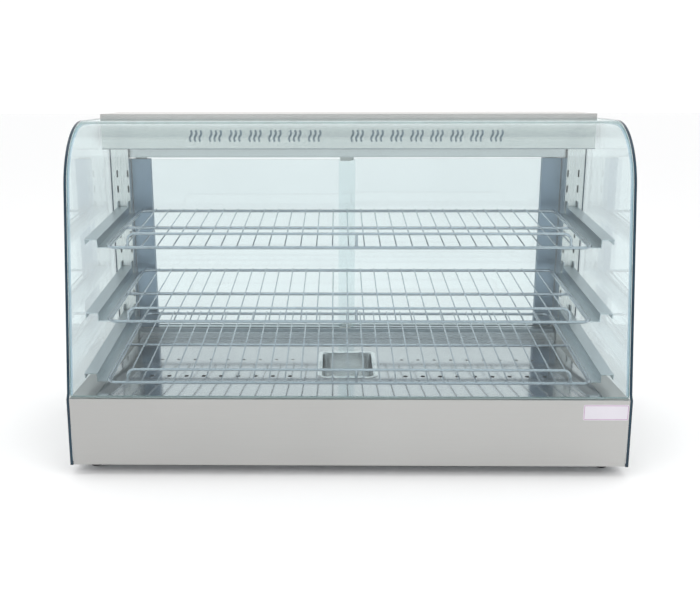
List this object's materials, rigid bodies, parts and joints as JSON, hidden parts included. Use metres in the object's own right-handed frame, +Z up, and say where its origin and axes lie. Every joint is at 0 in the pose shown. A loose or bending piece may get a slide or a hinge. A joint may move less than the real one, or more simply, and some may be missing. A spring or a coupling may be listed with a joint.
{
  "type": "hot food display case",
  "caption": "Countertop hot food display case with a curved glass front, tilted wire shelves on slotted uprights, a heated stainless base with a water pan, and sliding glass rear doors.",
  "frame": {"origin": "middle of the outline on the worktop, under the feet", "axes": "+X to the right seen from the front, front towards -Y, +Z up"},
  "size_m": [1, 0.482, 0.63],
  "materials": {
    "panel_steel": "brushed stainless steel, fine horizontal grain",
    "polished_steel": "mirror polished stainless steel",
    "upright_steel": "satin stainless steel",
    "galvanised_steel": "galvanised sheet",
    "bracket_steel": "satin stainless steel, faint linishing marks",
    "plated_wire": "bright nickel-chrome plated wire",
    "case_glass": "clear tempered glass, ground edges with a green cast",
    "door_glass": "clear tempered glass",
    "clear_silicone": "clear silicone",
    "door_aluminium": "dark blue-grey anodised",
    "track_aluminium": "dark anodised",
    "nylon": "natural nylon",
    "reflector_white": "white powder coat",
    "lamp_holder_white": "moulded, matt",
    "lamp_glass": "opal coated tube",
    "element_steel": "heat-tinted sheath",
    "ceramic": "glazed steatite",
    "thermostat_case": "moulded",
    "spindle_steel": "turned",
    "knob_plastic": "fine spark-eroded texture",
    "switch_plastic": "satin moulded",
    "red_rocker": "gloss moulded",
    "pilot_lens": "translucent amber",
    "gland_plastic": "moulded nylon",
    "badge_vinyl": "plain laminated vinyl",
    "screw_steel": "bright steel",
    "foot_rubber": "moulded rubber"
  },
  "bodies": {
    "case": {"base_tray": "galvanised_steel", "base_front_panel": "panel_steel", "base_side_panel_left": "panel_steel", "base_side_panel_right": "panel_steel", "base_rear_panel": "panel_steel", "deck_plate": "polished_steel", "heat_shield": "galvanised_steel", "heating_element_left": "element_steel", "heating_element_right": "element_steel", "terminal_block": "ceramic", "foot_front_left": "foot_rubber", "foot_front_right": "foot_rubber", "foot_rear_left": "foot_rubber", "foot_rear_right": "foot_rubber", "side_glass_left": "case_glass", "side_glass_right": "case_glass", "front_glass": "case_glass", "glass_seals": "clear_silicone", "top_panel": "panel_steel", "header_panel": "panel_steel", "lamp_reflector": "reflector_white", "lamp_holder_left": "lamp_holder_white", "lamp_holder_right": "lamp_holder_white", "lamp_tube": "lamp_glass", "rear_top_beam": "panel_steel", "upper_door_track": "track_aluminium", "rear_sill": "panel_steel", "lower_door_track": "track_aluminium", "upright_left": "upright_steel", "upright_right": "upright_steel", "bracket_top_left": "bracket_steel", "bracket_top_right": "bracket_steel", "bracket_middle_left": "bracket_steel", "bracket_middle_right": "bracket_steel", "bracket_bottom_left": "bracket_steel", "bracket_bottom_right": "bracket_steel", "thermostat_body": "thermostat_case", "power_switch_housing": "switch_plastic", "lamp_switch_housing": "switch_plastic", "pilot_lamp": "pilot_lens", "cord_gland": "gland_plastic", "badge_plate": "badge_vinyl", "panel_screws": "screw_steel"},
    "shelf_top_body": {"shelf_top": "plated_wire", "guard_rail_top": "plated_wire"},
    "shelf_middle_body": {"shelf_middle": "plated_wire", "guard_rail_middle": "plated_wire"},
    "shelf_bottom_body": {"shelf_bottom": "plated_wire", "guard_rail_bottom": "plated_wire"},
    "pan_body": {"water_pan": "polished_steel"},
    "door_left": {"door_left_glass": "door_glass", "door_left_handle": "door_aluminium", "door_left_glides": "nylon"},
    "door_right": {"door_right_glass": "door_glass", "door_right_handle": "door_aluminium", "door_right_glides": "nylon"},
    "thermostat_dial": {"thermostat_spindle": "spindle_steel", "thermostat_knob": "knob_plastic"},
    "power_rocker": {"power_switch_rocker": "red_rocker"},
    "lamp_rocker": {"lamp_switch_rocker": "switch_plastic"}
  },
  "joints": [
    {"name": "door_left_slide", "type": "slide", "parent": "case", "child": "door_left", "axis": [1, 0, 0], "range_m": [0, 0.436]},
    {"name": "door_right_slide", "type": "slide", "parent": "case", "child": "door_right", "axis": [1, 0, 0], "range_m": [-0.436, 0]},
    {"name": "shelf_top_lift", "type": "slide", "parent": "case", "child": "shelf_top_body", "axis": [0, 0, 1], "range_m": [0, 0.025]},
    {"name": "shelf_middle_lift", "type": "slide", "parent": "case", "child": "shelf_middle_body", "axis": [0, 0, 1], "range_m": [0, 0.025]},
    {"name": "shelf_bottom_lift", "type": "slide", "parent": "case", "child": "shelf_bottom_body", "axis": [0, 0, 1], "range_m": [0, 0.025]},
    {"name": "pan_lift", "type": "slide", "parent": "case", "child": "pan_body", "axis": [0, 0, 1], "range_m": [0, 0.016]},
    {"name": "thermostat_turn", "type": "hinge", "parent": "case", "child": "thermostat_dial", "pos_m": [0.33, 0.219, 0.0825], "axis": [0, -1, 0], "range_deg": [0, 270]},
    {"name": "power_switch_rock", "type": "hinge", "parent": "case", "child": "power_rocker", "pos_m": [0.26, 0.214, 0.0825], "axis": [-1, 0, 0], "range_deg": [0, 18]},
    {"name": "lamp_switch_rock", "type": "hinge", "parent": "case", "child": "lamp_rocker", "pos_m": [0.19, 0.214, 0.0825], "axis": [-1, 0, 0], "range_deg": [0, 18]}
  ]
}
